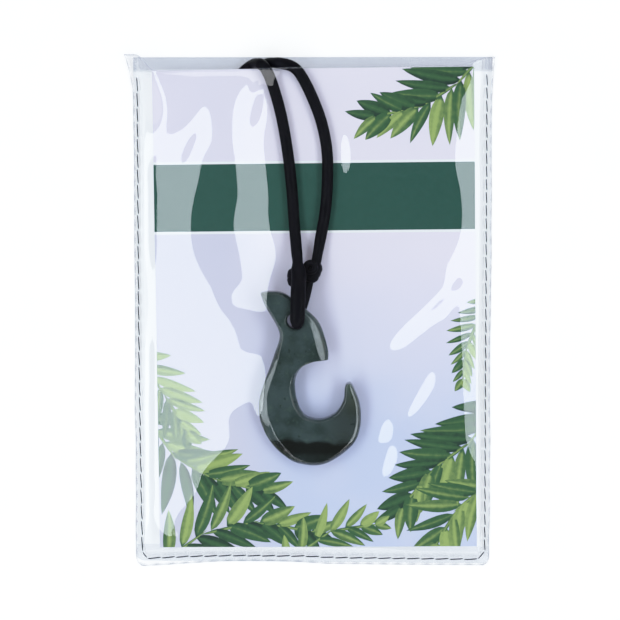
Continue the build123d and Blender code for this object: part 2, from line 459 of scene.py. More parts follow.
leaf_ink = Finish("leaf_ink")
leaf_tint = leaf_ink.add("ShaderNodeAttribute", {"attribute_name": "tint"}).out("Fac")
grain = leaf_ink.clouds(leaf_ink.point(), 700.0, 2.0, 0.5)
tone = leaf_tint + (grain - 0.5) * 0.3
green = leaf_ink.blend(tone.ramp(0.0, 0.55), shade(20, 44, 37), shade(54, 92, 57))
green = leaf_ink.blend(tone.ramp(0.5, 1.15), green, shade(150, 172, 98))
ink_finish = leaf_ink.surface({"Base Color": green, "Roughness": 0.4})
piece("card_leaves", leaves, ink_finish, smooth=False)

# %% [markdown]
# The hook is carved from one plate of stone. Its section is a flat-faced bar with wide ground facets
# and narrow steep rims, so it is drawn as a run of rings: each ring spans the hook from its outer
# side to its inner side. First come the two outlines, as shares of the hook's width and length, and
# the facets of each ring.

# %% Outline and facets of the hook
HOOK_WIDTH, HOOK_LENGTH, HOOK_DEPTH = 32.1, 54.9, 4.6
outer_side = [
    (0.03, 0.99), (0.065, 0.925), (0.183, 0.803), (0.209, 0.735), (0.16, 0.642), (0.108, 0.555),
    (0.052, 0.468), (0.005, 0.35), (0.044, 0.213), (0.255, 0.051), (0.45, 0.003), (0.67, 0.014),
    (0.915, 0.118), (0.992, 0.228), (0.986, 0.355), (0.917, 0.458), (0.883, 0.478),
]
head_side = [
    (0.03, 0.99), (0.11, 0.999), (0.265, 0.984), (0.49, 0.885), (0.605, 0.805), (0.676, 0.669),
    (0.68, 0.61),
]
throat_side = [
    (0.68, 0.61), (0.565, 0.605), (0.424, 0.565), (0.361, 0.49), (0.374, 0.38), (0.45, 0.29),
    (0.602, 0.266), (0.746, 0.302), (0.825, 0.375), (0.843, 0.458), (0.883, 0.478),
]
# Each ring's place along the outer side and along the inner side, then for both sides the bevel's
# width in millimetres and how much of it, from the edge inwards, is the steep part
rings = [
    (0, 0, 0.5, 0.8, 0.5, 0.8), (0.5, 0.6, 0.9, 0.8, 0.7, 0.8), (1, 1, 1.1, 0.8, 0.8, 0.8),
    (2, 2, 1.3, 0.8, 0.9, 0.8), (3, 3.2, 1.4, 0.75, 2.2, 0.45), (3.6, 4.2, 1.5, 0.7, 3.2, 0.34),
    (4.2, 5, 1.7, 0.6, 3.4, 0.34), (4.6, 6, 1.9, 0.5, 2.2, 0.45), (5, 6.6, 2.1, 0.4, 0.9, 0.7),
    (5.4, 7.3, 2.4, 0.3, 0.9, 0.7), (6, 8, 2.7, 0.2, 1.2, 0.8), (6.8, 9, 2.9, 0.12, 1.8, 0.85),
    (7.4, 10, 3, 0.14, 1.7, 0.85), (8, 10.7, 3, 0.3, 1.3, 0.8), (8.8, 11.3, 2.5, 0.5, 1, 0.85),
    (9.6, 11.8, 1.6, 0.8, 0.8, 0.9), (10.5, 12.2, 1.2, 0.95, 0.8, 0.9),
    (11.4, 12.8, 1.4, 0.8, 0.8, 0.9), (12.2, 13.3, 2, 0.48, 0.9, 0.8),
    (13, 13.8, 2.1, 0.45, 0.9, 0.8), (13.9, 14.4, 1.9, 0.45, 0.8, 0.8),
    (14.6, 14.8, 1.5, 0.45, 0.7, 0.8), (15.2, 15.4, 1, 0.45, 0.5, 0.8), (16, 16, 0.4, 0.5, 0.3, 0.8),
]
# How steep the facets and the rims are, and how much steeper the facets are at the outer side's
# foot and waist and at the inner side's shoulder
FACET_SLOPE, EDGE_SLOPE, STEEPER_OUTSIDE, STEEPER_INSIDE = 0.22, 0.8, 0.2, 0.05
# How far the bend stands out, how high the faces are crowned, how far below the full depth they
# start, and where the foot is, all in millimetres
ROUNDING, CROWN, FACE_IN, FOOT = 0.4, 0.22, 0.2, -1.4


def inner_side(at):
    """A point of the inner side, which has a corner at the barb."""
    return through(head_side, at) if at <= 6 else through(throat_side, at - 6)


def in_hook(share):
    """A share of the hook's width and length, as a place in millimetres."""
    return Vector((share[0] * HOOK_WIDTH, share[1] * HOOK_LENGTH + FOOT))


def bevel_drop(depth, width, steep, facet=FACET_SLOPE):
    """How far the face has fallen at this depth from the edge."""
    knee = steep * width
    return -facet * max(0, width - max(depth, knee)) - EDGE_SLOPE * max(0, knee - depth)


def bevel_columns(width, steep):
    """Depths from the edge at which a bevel has its points, close together at its two bends."""
    knee, near = steep * width, min(0.08, 0.04 * width)
    flat = 0.94 * width - knee
    shares = [knee + near + flat * share for share in (0.0, 0.12, 0.5, 0.88)]
    return [near, max(near, knee - near), *shares, 0.97 * width, 1.06 * width]


print("hook rings", len(rings), "head at", [round(v, 1) for v in in_hook(head_side[1])])

# %% [markdown]
# The rings start as one flat grid. Its columns are rolled round the section and its rows stretched to
# the outline. Points stand close together at the bends, so that the facets stay crisp when the mesh
# is shaded smooth.

# %% Shape of the hook
BARB_TIP = 16
steps = [number + k / 8 for number in range(len(rings) - 1) for k in range(8)] + [len(rings) - 1]
FACE_POINTS, BEVEL_POINTS, SIDE_POINTS = 12, 8, 3
FRONT_POINTS = 2 * BEVEL_POINTS + FACE_POINTS
half = FRONT_POINTS + SIDE_POINTS
ring_size = 2 * half
stone = bmesh.new()
bmesh.ops.create_grid(stone, x_segments=len(steps) - 1, y_segments=ring_size, size=0.5)
for vert in stone.verts:
    row = round((vert.co.x + 0.5) * (len(steps) - 1))
    column = round((vert.co.y + 0.5) * ring_size) % ring_size
    o, n, bevel_out, steep_out, bevel_in, steep_in = through(rings, steps[row])
    a = in_hook(through(outer_side, max(0, min(o, BARB_TIP))))
    b = in_hook(inner_side(max(0, min(n, BARB_TIP))))
    # the outline is rounder where the bend turns to the foot
    a += (a - b).normalized() * ROUNDING * sin(pi * max(0, min(1, o - 8)))
    wide = max(0.002, (b - a).length)
    bevel_out, bevel_in = min(bevel_out, 0.42 * wide), min(bevel_in, 0.42 * wide)
    at_front = column < half
    i = column if at_front else FRONT_POINTS - 1 - (column - half)
    if 0 <= i < FRONT_POINTS:
        left, right = bevel_columns(bevel_out, steep_out), bevel_columns(bevel_in, steep_in)
        if i < BEVEL_POINTS:
            depth = left[i]
            foot = 0.6 * ease((o - 7.4) / 0.7) * ease((10.4 - o) / 0.8)
            waist = ease((o - 2.3) / 0.5) * ease((4.6 - o) / 0.5)
            steeper = STEEPER_OUTSIDE * (foot + waist)
            drop = bevel_drop(depth, bevel_out, steep_out, FACET_SLOPE + steeper)
        elif i < BEVEL_POINTS + FACE_POINTS:
            share = (i - BEVEL_POINTS + 1) / (FACE_POINTS + 1)
            depth = left[-1] + share * (wide - left[-1] - right[-1])
            drop = 0.0
        else:
            inset = right[FRONT_POINTS - 1 - i]
            depth = wide - inset
            shoulder = ease((n - 2) / 1.2) * ease((6.4 - n) / 0.5)
            steeper = STEEPER_INSIDE * shoulder
            drop = bevel_drop(inset, bevel_in, steep_in, FACET_SLOPE + steeper)
        crown = CROWN * (1 - abs(2 * depth / wide - 1) ** 2.2)
        top = HOOK_DEPTH - FACE_IN + crown + drop
        z = top if at_front else HOOK_DEPTH - top
    else:
        k = column - FRONT_POINTS if at_front else column - half - FRONT_POINTS
        depth = wide if at_front else 0.0
        z = HOOK_DEPTH / 2 + (1 - k) * 0.55 * (1 if at_front else -1)
    spot = a.lerp(b, depth / wide)
    vert.co = Vector((spot.x, spot.y, z))
bmesh.ops.remove_doubles(stone, verts=stone.verts[:], dist=0.004)
# the hook leans on the cord under its head
HOOK_TILT = radians(4.25)
hook_place = Matrix.Translation((-16.5, -45.9, 4.3)) @ Matrix.Rotation(HOOK_TILT, 4, "X")
bmesh.ops.transform(stone, matrix=Matrix.Scale(MM, 4) @ hook_place, verts=stone.verts[:])
print("points of the hook", len(stone.verts))

# %% [markdown]
# The stone is polished nephrite: grey green, softly mottled, with small dark flecks. It is more olive
# at the barb and smoky in the bend. Its foot is coloured almost black, a painted dark reflection.

# %% Nephrite
nephrite = Finish("polished_nephrite")
point, x, y, z = nephrite.place()
mottle = nephrite.clouds(point, 130.0, 4.0, 0.6)
fine = nephrite.clouds(point, 520.0, 3.0, 0.55)
fleck = nephrite.clouds(point, 560.0, 1.0, 0.4).ramp(0.68, 0.76)
body_green = nephrite.blend(mottle.ramp(0.38, 0.66), shade(58, 71, 71), shade(40, 52, 49))
body_green = nephrite.blend(fine.ramp(0.5, 0.8, 0.0, 0.35), body_green, shade(82, 100, 92))
olive = (x - 8.5 * MM).ramp(0, 5 * MM) * (y + 33 * MM).ramp(0, 6 * MM)
body_green = nephrite.blend(olive * 0.35, body_green, shade(84, 92, 66))
smoky = (x - 1 * MM).ramp(0, 10 * MM) * (y + 20 * MM).ramp(0, -8 * MM)
body_green = nephrite.blend(smoky * 0.55, body_green, shade(48, 52, 50))
body_green = nephrite.blend(fleck * 0.5, body_green, shade(24, 32, 29))
# painted dark reflection: below a wavy line the foot of the hook is coloured almost black
reflection_edge_wave = (nephrite.clouds(point, 110.0, 2.0) - 0.5) * 5.5 * MM
low = (y - reflection_edge_wave + 39.4 * MM).ramp(-1.2 * MM, 0.6 * MM, 1, 0)
painted_reflection_depth = (y + 43 * MM).ramp(-2 * MM, 0, 0.75, 0.95)
body_green = nephrite.blend(low * painted_reflection_depth, body_green, shade(15, 17, 14))
polish = fine.ramp(0.3, 0.8, 0.07, 0.16)
relief = nephrite.bump(fine, 0.02 * MM)
stone_finish = nephrite.surface(
    {"Base Color": body_green, "Roughness": polish, "IOR": 1.61, "Normal": relief}
)
hook = piece("hook", stone, stone_finish)
print("nodes of the nephrite", len(nephrite.nodes))

# %% [markdown]
# The cord hole is drilled with a bit that flares at both ends, so the hole's edges come out rounded.
# The bit grows from one circle, ring by ring, and a Boolean takes it out of the stone.


# %% Cord hole
def grown_ring(shape, edges):
    """Extrudes a ring of edges. Gives the new ring's points and edges."""
    grown = bmesh.ops.extrude_edge_only(shape, edges=edges)["geom"]
    ring = [v for v in grown if isinstance(v, bmesh.types.BMVert)]
    return ring, [e for e in grown if isinstance(e, bmesh.types.BMEdge)]


def flare(edges, profile, way):
    """Grows the drill bit. Each step of the profile is its height and its new radius."""
    for step, radius in profile:
        ring, edges = grown_ring(drill, edges)
        for vert in ring:
            flat = Vector((vert.co.x, vert.co.y)).normalized() * radius
            vert.co = Vector((flat.x, flat.y, vert.co.z + way * step))


HOLE = 2.5
drill = bmesh.new()
bmesh.ops.create_circle(drill, segments=64, radius=HOLE)
circle = drill.edges[:]
bmesh.ops.translate(drill, vec=(0, 0, 0.7), verts=drill.verts[:])
flare(circle, ((3.2, HOLE), (0.3, 2.58), (0.22, 2.8), (0.3, 3.4), (1.0, 4.6)), 1)
circle = [e for e in drill.edges if e.is_boundary and e.verts[0].co.z < 1]
flare(circle, ((0.12, 2.58), (0.22, 2.8), (0.3, 3.4), (1.0, 4.6)), -1)
bmesh.ops.holes_fill(drill, edges=drill.edges[:])
hole_at = in_hook((0.361, 0.834))
bmesh.ops.translate(drill, vec=(hole_at.x, hole_at.y, 0), verts=drill.verts[:])
bmesh.ops.transform(drill, matrix=Matrix.Scale(MM, 4) @ hook_place, verts=drill.verts[:])
bit = piece("drill_bit", drill, stone_finish)
drilling = hook.modifiers.new("hole", "BOOLEAN")
drilling.operation = "DIFFERENCE"
drilling.solver = "EXACT"
drilling.object = bit
bake(hook)
bpy.data.objects.remove(bit)
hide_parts("hook_pendant")
corners = hook.bound_box[0], hook.bound_box[6]
print("hook corners", [round(v / MM, 1) for corner in corners for v in corner])

# %% [markdown]
# The cord is one neck loop of black satin braid. Its route is the CAD route, moved a little here and
# there to follow the two strands more closely. A smooth NURBS line led by those points lies as a limp
# cord does, and a round section is swept along it. The line starts and ends at the right knot.

# %% Line of the cord
CORD = 3.2
route = [
    (-0.9, 10.2, 6.7), (-1.7, 6.2, 6.2), (-2.8, 2.4, 5.9), (-3.8, -0.8, 5.6), (-4.1, -2.2, 7.6),
    (-4.1, -2.4, 10), (-4.1, -3, 12.3), (-4.1, -2.9, 14.1), (-4, 0, 14.3), (-3.9, 4, 14.4),
    (-3.9, 8, 14), (-3.7, 12.5, 12), (-4.6, 20, 7.7), (-5.4, 28, 5.9), (-6, 38, 5.9),
    (-7.3, 50, 5.9), (-9.4, 62, 5.9), (-12, 71, 5.9), (-14, 76, 7.3), (-16.2, 77.7, 6.4),
    (-19.1, 77.4, 2), (-24.4, 72.3, 2), (-36, 66.5, 2), (-41.5, 57, 2), (-43.5, 42, 2),
    (-42.8, 20, 2), (-43.8, -8, 2), (-42.6, -36, 2), (-39, -54, 2), (-30, -66, 2), (-14, -70, 2),
    (6, -68.8, 2), (24, -69.5, 2), (37.5, -63.5, 2), (43.5, -50, 2), (45, -30, 2), (44.2, 0, 2),
    (45.2, 28, 2), (43.5, 46, 2), (37, 57.5, 2), (25, 62, 2), (11, 58.5, 2), (-3, 54.5, 2),
    (-14.5, 57, 2), (-20.5, 64, 2), (-18.9, 71.5, 2), (-15.7, 77.9, 2), (-8.9, 77.6, 5.9),
    (-4.8, 76.2, 5.9), (-2, 71.8, 5.9), (0.5, 66.5, 5.9), (3.2, 59.5, 5.9), (5, 50.5, 5.9),
    (5, 41, 5.9), (4.4, 32, 5.9), (2.9, 24, 5.9), (1.6, 16.6, 6.8), (1, 13.6, 7.2),
]


def cord_line(name, points, thickness, fine=8):
    """A NURBS line through points in millimetres, as wide as thickness, or bare at 0."""
    data = bpy.data.curves.new(name, "CURVE")
    data.dimensions = "3D"
    data.resolution_u = fine
    data.bevel_depth = thickness / 2 * MM
    data.bevel_resolution = 5
    data.use_fill_caps = thickness > 0
    line = data.splines.new("NURBS")
    line.points.add(len(points) - 1)
    for point, at in zip(line.points, points):
        point.co = (at[0] * MM, at[1] * MM, at[2] * MM, 1)
    line.order_u = 3
    line.use_endpoint_u = True
    return in_scene(name, data)


def as_mesh(made):
    """A line's mesh: bare points along it, or its swept tube. The line itself is removed."""
    mesh = final_mesh(made)
    bpy.data.objects.remove(made)
    return mesh


line_mesh = as_mesh(cord_line("cord_middle", route, 0))
centre_points = [v.co.copy() for v in line_mesh.vertices]
tube_mesh = as_mesh(cord_line("cord_thick", route, CORD))

# %% [markdown]
# The film presses on the cord. Where the two strands lie on the card they are a little wider than
# the cord is thick, and where they pass over the hook they are wider still. The satin is almost
# black, with a faint long grain and a few lighter spots of painted sheen.

# %% Cord
PRESSED_ON_CARD, PRESSED_ON_HOOK, HOOK_STRAND_X = 0.13, 0.48, -4.05
satin = Finish("black_satin")
point = satin.point()
strand = satin.clouds(point, 900.0, 2.0, 0.5, (1, 0.12, 1))
# painted sheen: a few lighter patches in the satin's colour
painted_sheen_spots = satin.clouds(point, 180.0, 2.0, 0.5, (1, 0.4, 1))
thread = satin.blend(strand.ramp(0.3, 0.7), shade(3, 3, 8), shade(9, 8, 15))
thread = satin.blend(painted_sheen_spots.ramp(0.5, 0.8, 0.0, 0.4), thread, shade(18, 17, 27))
sheen, braid = strand.ramp(0.3, 0.7, 0.42, 0.56), satin.bump(strand, 0.12 * MM)
cord_finish = satin.surface(
    {"Base Color": thread, "Roughness": sheen, "Specular IOR Level": 0.06, "Normal": braid}
)
tube = bmesh.new()
tube.from_mesh(tube_mesh)
tube.verts.ensure_lookup_table()
ring_count = len(tube.verts) // len(centre_points)
for number, vert in enumerate(tube.verts):
    middle = centre_points[min(number // ring_count, len(centre_points) - 1)]
    on_card = ease((middle.z / MM - 5) * 2) * ease((middle.y / MM - 16) / 6)
    vert.co.x += PRESSED_ON_CARD * on_card * (vert.co.x - middle.x)
    vert.co.y += PRESSED_ON_CARD * on_card * (vert.co.y - middle.y)
    on_hook = ease(vert.co.z / MM - 10.5) * ease((vert.co.y / MM + 4.2) / 3.5)
    vert.co.x += PRESSED_ON_HOOK * on_hook * (vert.co.x - HOOK_STRAND_X * MM)
cord = piece("neck_cord", tube, cord_finish)
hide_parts("cord")

# %% [markdown]
# Two sliding knots sit side by side over the hook's head. A sliding knot is a short winding of the
# cord round itself, drawn tight, so it shows as a plump barrel with slanting grooves. Each starts as
# a sphere of many rings, and its points are moved out and in along a screw line. A small loop of
# thinner cord closes over the right knot.


# %% Knots
def knot(name, middle, axis, thick, long, lean, node):
    """A tight winding round an axis. lean says how far its grooves slant."""
    body = bmesh.new()
    bmesh.ops.create_uvsphere(body, u_segments=40, v_segments=36, radius=1.0)
    for vert in body.verts:
        turn_at = atan2(vert.co.y, vert.co.x)
        share = vert.co.z
        fullness = (1 - abs(share) ** 3.2) ** 0.42 if abs(share) < 1 else 0.0
        screw = share * 1.5 * pi * 1.35 + lean * turn_at
        groove = 1 - GROOVE * (0.5 - 0.5 * cos(2 * screw)) ** 2
        radius = thick / 2 * fullness * groove
        vert.co = Vector((cos(turn_at) * radius, sin(turn_at) * radius, share * long / 2))
    stand = Vector(axis).to_track_quat("Z", "Y").to_matrix().to_4x4()
    knot_place = Matrix.Scale(MM, 4) @ Matrix.Translation(middle) @ stand
    bmesh.ops.transform(body, matrix=knot_place, verts=body.verts[:])
    made = piece(name, body, cord_finish)
    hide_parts(node)
    return made


GROOVE, LOOP_CORD = 0.045, 1.7
right_knot = knot("winding_right", (0.5, 13.0, 7.0), (-0.41, -0.91, 0), 5.1, 7.0, 0.5, "knot_right")
left_knot = knot("winding_left", (-5.0, 11.2, 6.9), (0.05, -1.0, 0), 5.2, 6.2, -0.5, "knot_left")
loop_points = [
    (-1.9, 13.2, 7.6), (-2.0, 14.6, 8.8), (-1.2, 15.9, 9.3), (0.3, 16.2, 9.4), (1.4, 15.1, 9.4),
    (1.2, 13.6, 9.3), (-0.2, 12.9, 9.2), (-1.6, 13.5, 8.9), (-2.2, 12.2, 7.6),
]
loop_shape = bmesh.new()
loop_shape.from_mesh(as_mesh(cord_line("small_loop", loop_points, LOOP_CORD, 6)))
knot_loop = piece("knot_loop", loop_shape, cord_finish)

# %% [markdown]
# The front of the pouch is one sheet of clear vinyl. It is drawn over the hook like a low tent, and
# where it leans it mirrors the soft boxes. Each row below crosses the pouch at one place along it. A
# row starts at the left seam wall and climbs in runs, each with its end and its slope, reaches a
# crest of two points, and comes down to the right wall in the same way. Slopes between a fifth and a
# third catch a soft box, gentler ones stay clear. So a flat run by the card's left edge keeps a clear
# strip there, and the rows fall gently to the foot, too gently to mirror the screen behind it.

# %% Film rows
HALF_WIDTH, HALF_LENGTH, FILM = 56.0, 79.6, 0.35
SEAM_LEVEL, WALL_TOP = 0.4, 4.95
# The side walls' inner and outer places, and the foot wall's
WALL_AT, WALL_OUT, FOOT_WALL_AT, FOOT_WALL_OUT = 52.5, 54.1, -74.9, -77.7
film_rows = [
    (79.6, [(-49.5, 0.75), (-36, 0.05), (-30, 0.08), (-18, 0.1), (-16, 0.15)],
     [(-6, 11.2), (0, 11.4)], [(49.8, 0.31), (30, 0.13), (8, 0.11)]),
    (72, [(-48.2, 0.75), (-36, 0.07), (-30, 0.08), (-18, 0.1), (-14, 0.3)],
     [(-6, 12), (0, 12)], [(49.2, 0.31), (30, 0.145), (8, 0.12)]),
    (66, [(-46, 0.6), (-34, 0.06), (-32, 0.1), (-21, 0.09), (-12, 0.29)],
     [(-6, 12.6), (0, 12.6)], [(46.4, 0.31), (30, 0.15), (8, 0.13)]),
    (60, [(-46, 0.45), (-36.5, 0.08), (-31, 0.27), (-22.2, 0.09), (-12.4, 0.27)],
     [(-6, 13), (0, 13)], [(45.8, 0.31), (30, 0.155), (8, 0.14)]),
    (54, [(-49, 0.3), (-43, 0.17), (-30.2, 0.282), (-23.8, 0.1), (-13.4, 0.27)],
     [(-6, 13.2), (0, 13.2)], [(45.2, 0.31), (30, 0.16), (8, 0.15)]),
    (46, [(-50.6, 0.25), (-48.2, 0.02), (-34, 0.28), (-22.9, 0.1), (-13.4, 0.27)],
     [(-6, 13.3), (0, 13.3)], [(45, 0.31), (28, 0.165), (8, 0.16)]),
    (37, [(-50.6, 0.25), (-48.2, 0.02), (-36.6, 0.255), (-22.4, 0.11), (-13, 0.27)],
     [(-6, 13.3), (0, 13.3)], [(46.8, 0.31), (28, 0.165), (8, 0.16)]),
    (28, [(-50.6, 0.26), (-48.3, 0.02), (-38, 0.265), (-23.9, 0.12), (-12.4, 0.28)],
     [(-6, 13.4), (0, 13.4)], [(47, 0.31), (26, 0.17), (8, 0.16)]),
    (19, [(-50.6, 0.27), (-48.4, 0.02), (-37.2, 0.28), (-22.3, 0.12), (-10, 0.28)],
     [(-6, 13.8), (0, 13.8)], [(44.8, 0.31), (26, 0.17), (8, 0.165)]),
    (11, [(-50.7, 0.4), (-48.6, 0.08), (-34, 0.315), (-21, 0.15), (-12.6, 0.24)],
     [(-7, 15.1), (-2, 15.1)], [(41, 0.31), (26, 0.175), (8, 0.18)]),
    (4, [(-50.7, 0.45), (-48.7, 0.12), (-30.5, 0.322), (-24, 0.14), (-13.2, 0.25)],
     [(-6.4, 16.1), (-2.4, 16.1)], [(47, 0.31), (24, 0.2), (8, 0.2)]),
    (0.3, [(-50.7, 0.45), (-48.8, 0.12), (-28.3, 0.322), (-17, 0.155), (-12, 0.15)],
     [(-6.5, 16.1), (-2.5, 16.1)], [(47.3, 0.31), (23, 0.2), (8, 0.195)]),
    (-3.5, [(-50.8, 0.4), (-48.9, 0.08), (-25.4, 0.315), (-17, 0.15), (-12, 0.16)],
     [(-6.6, 16), (-2.6, 16.05)], [(47.6, 0.31), (22, 0.2), (8, 0.19)]),
    (-11.5, [(-50.8, 0.28), (-49, 0.02), (-23.5, 0.28), (-18, 0.17), (-14, 0.17)],
     [(-7, 15.3), (-2, 15.1)], [(48.2, 0.31), (22, 0.19), (8, 0.17)]),
    (-14.5, [(-50.8, 0.27), (-49, 0.02), (-30, 0.275), (-20, 0.25), (-14.3, 0.245)],
     [(-7, 15.1), (-2, 14.9)], [(48.2, 0.31), (22, 0.187), (8, 0.166)]),
    (-24, [(-50.8, 0.265), (-49.1, 0.02), (-18, 0.26), (-15.2, 0.24), (-12, 0.06)],
     [(-7, 14.5), (0, 14.3)], [(47.9, 0.31), (22, 0.175), (8, 0.15)]),
    (-31, [(-50.9, 0.26), (-49.2, 0.02), (-25.4, 0.265), (-15, 0.1), (-12, 0.06)],
     [(-7, 13.1), (0, 13.1)], [(48, 0.31), (22, 0.16), (8, 0.13)]),
    (-40, [(-50.9, 0.26), (-49.2, 0.02), (-25.6, 0.26), (-15, 0.08), (-12, 0.04)],
     [(-7, 12.4), (0, 12.4)], [(48.6, 0.31), (22, 0.145), (8, 0.11)]),
    (-49, [(-51, 0.26), (-49.3, 0.02), (-33.5, 0.255), (-15, 0.08), (-12, 0.02)],
     [(-7, 10.95), (0, 10.95)], [(51.2, 0.31), (22, 0.127), (8, 0.095)]),
    (-57, [(-51, 0.25), (-49.3, 0.02), (-36.3, 0.25), (-15, 0.018), (-12, 0.01)],
     [(-7, 9.05), (0, 9.05)], [(51.2, 0.3), (22, 0.11), (8, 0.03)]),
    (-66, [(-51, 0.24), (-49.4, 0.02), (-43, 0.25), (-15, 0), (-12, 0)],
     [(-7, 6.95), (0, 6.95)], [(51.2, 0.26), (22, 0.055), (8, 0.002)]),
    (-74.9, [(-48, 0), (-45, 0), (-40, 0), (-15, 0), (-12, 0)],
     [(-7, 4.95), (0, 4.95)], [(51.2, 0), (22, 0), (8, 0)]),
]


def marks_of(left, crest, right):
    """The bends of one row from left to right, each as its place and its height."""
    climb, descent = [(-WALL_AT, WALL_TOP)], [(WALL_AT, WALL_TOP)]
    for x, slope in left:
        climb.append((x, climb[-1][1] + (x - climb[-1][0]) * slope))
    for x, slope in right:
        descent.append((x, descent[-1][1] + (descent[-1][0] - x) * slope))
    return climb + crest + descent[::-1]


row_places = [row[0] for row in reversed(film_rows)]
row_marks = [marks_of(*row[1:]) for row in reversed(film_rows)]


def between(marks, value):
    """A value's place among marks, such as 2.4 between marks 2 and 3."""
    for i in range(len(marks) - 1):
        if value <= marks[i + 1]:
            return max(0.0, i + (value - marks[i]) / (marks[i + 1] - marks[i]))
    return float(len(marks) - 1)


RIPPLE = 0.08
# Creases of the film: two ends, a height and a half width, all in millimetres
creases = [
    ((43.6, 10.2), (22, -8.5), 1.42, 3.3),
    ((35.9, -19.2), (28, -31.9), 0.7, 2.1),
    ((22.6, -31.5), (16.4, -44.5), 1, 3.3),
    ((24.2, -41.4), (19.6, -51.6), 0.9, 2.8),
    ((7.6, 59), (8.2, 42), 0.75, 3),
    ((-32.6, 57.4), (-39.4, 44.2), 0.4, 2.5),
    ((-17.3, 71), (-21.3, 56.5), 0.66, 3.1),
    ((-12.8, -17), (-14.6, -34.5), 0.5, 2),
]


def crease_height(x, y):
    """How far the creases lift the film at a place."""
    total, place = 0.0, Vector((x, y))
    for start, end, height, half in creases:
        a, b = Vector(start), Vector(end)
        share = max(0, min(1, (place - a).dot(b - a) / (b - a).length_squared))
        off = (place - a.lerp(b, share)).length
        total += height * exp(-((off / half) ** 2)) * sin(pi * (0.12 + 0.76 * share))
    return total


def tent_heights(xs, y):
    """The heights of the film at many places across the pouch, in the row at y."""
    at = between(row_places, y)
    marks = [through([row[k] for row in row_marks], at) for k in range(len(row_marks[0]))]
    heights = []
    for x in xs:
        spot = between([m.x for m in marks], max(-WALL_AT, min(WALL_AT, x)))
        i = min(int(spot), len(marks) - 2)
        level = marks[i].y + (marks[i + 1].y - marks[i].y) * (spot - i)
        fade = min(1, (WALL_AT - min(WALL_AT, abs(x))) / 6) * min(1, (y - FOOT_WALL_AT) / 10)
        ripple = RIPPLE * noise.noise((x / 7, y / 17, 3.1))
        heights.append(level + crease_height(x, y) + max(0, fade) * ripple)
    return heights


print("crest of the film", round(max(tent_heights([-6, -4, -2], 2.0)), 2), "mm")

# %% [markdown]
# The sheet is a grid of fine squares set to those heights. Passes of smoothing round the bends, and
# its z is the only thing they move. Outside the walls it drops to the seam. The mouth's edge dips
# between its two corners, the left corner curls up and outwards, and the foot's edge hangs lower at
# its corners. Solidify gives the sheet its thickness. A value on each point, the rim, says how much
# the cut edge and the peeled corner catch the light.

# %% Shape of the film
wall_columns = [51.8, 52.2, 52.5, 52.7, 53.1, 53.6, 53.9, 54.1, 54.4, 55.2, 56]
columns = [-x for x in reversed(wall_columns)]
columns += [-51.2 + i * 102.4 / 150 for i in range(151)] + wall_columns
rows = [-79.6, -78.6, -77.9, -77.7, -77.4, -76.6, -75.8, -75.1, -74.9, -74.5, -74]
rows += [-73.2 + i * 152.8 / 200 for i in range(201)]
CORNER, PINCH_PITCH, SMOOTHINGS, CURL_FROM, WAVER = 2.5, 4.5, 10, 66, 0.3
# How far the peeled left corner and the right corner of the mouth go outwards and up
PEEL_OUT, PEEL_UP, RIGHT_OUT, RIGHT_UP = 2.7, 1.8, 0.9, 0.6
# How far the mouth's edge dips and the foot's edge hangs, by the place across the pouch
mouth_dip = [
    (-56, -0.9), (-53.5, -0.1), (-49.5, 3.9), (-44, 4.3), (0, 3.4), (36, 2.9), (46, 2.6),
    (53.5, 0.3), (56, 0),
]
foot_sag = [
    (-56, 1.9), (-46, 1.27), (-37, 0.6), (-28, 0.05), (-18, -0.15), (-6.5, 0), (5.6, 0.6),
    (56, 0.66),
]


def read_at(edge, x):
    """How far an edge dips at x."""
    return through([(dip,) * 2 for _, dip in edge], between([place for place, _ in edge], x)).x


film = bmesh.new()
bmesh.ops.create_grid(film, x_segments=len(columns) - 1, y_segments=len(rows) - 1, size=0.5)
rim = film.verts.layers.float.new("rim")
heights = [tent_heights(columns, max(FOOT_WALL_AT, y)) for y in rows]
for vert in film.verts:
    column = round((vert.co.x + 0.5) * (len(columns) - 1))
    row = round((vert.co.y + 0.5) * (len(rows) - 1))
    x, y = columns[column], rows[row]
    at_side, at_foot, at_mouth = column in (0, len(columns) - 1), row == 0, row == len(rows) - 1
    # each stitch pinches the edge, so the painted shade on the cut edge shows as a broken line
    pinch = 0.75 + 0.25 * cos(2 * pi * (y if at_side else x) / PINCH_PITCH)
    vert[rim] = pinch if at_side or at_foot else 0.0
    if at_mouth:
        vert[rim] = 0.35 + 0.65 * ease((abs(x) - 30) / 15)
    # painted shade: the peeled corner is a little grey
    vert[rim] = max(vert[rim], 0.5 * ease((-x - 47) / 4) * ease((y - 70) / 9))
    rise = ease((WALL_OUT - abs(x)) / (WALL_OUT - WALL_AT))
    rise *= ease((y - FOOT_WALL_OUT) / (FOOT_WALL_AT - FOOT_WALL_OUT))
    vert.co = Vector((x, y, SEAM_LEVEL + rise * (heights[row][column] - SEAM_LEVEL)))
inner = [v for v in film.verts if abs(v.co.x) < 52.3 and v.co.y > -74.6]
for _ in range(SMOOTHINGS):
    bmesh.ops.smooth_vert(film, verts=inner, factor=0.5, use_axis_z=True)
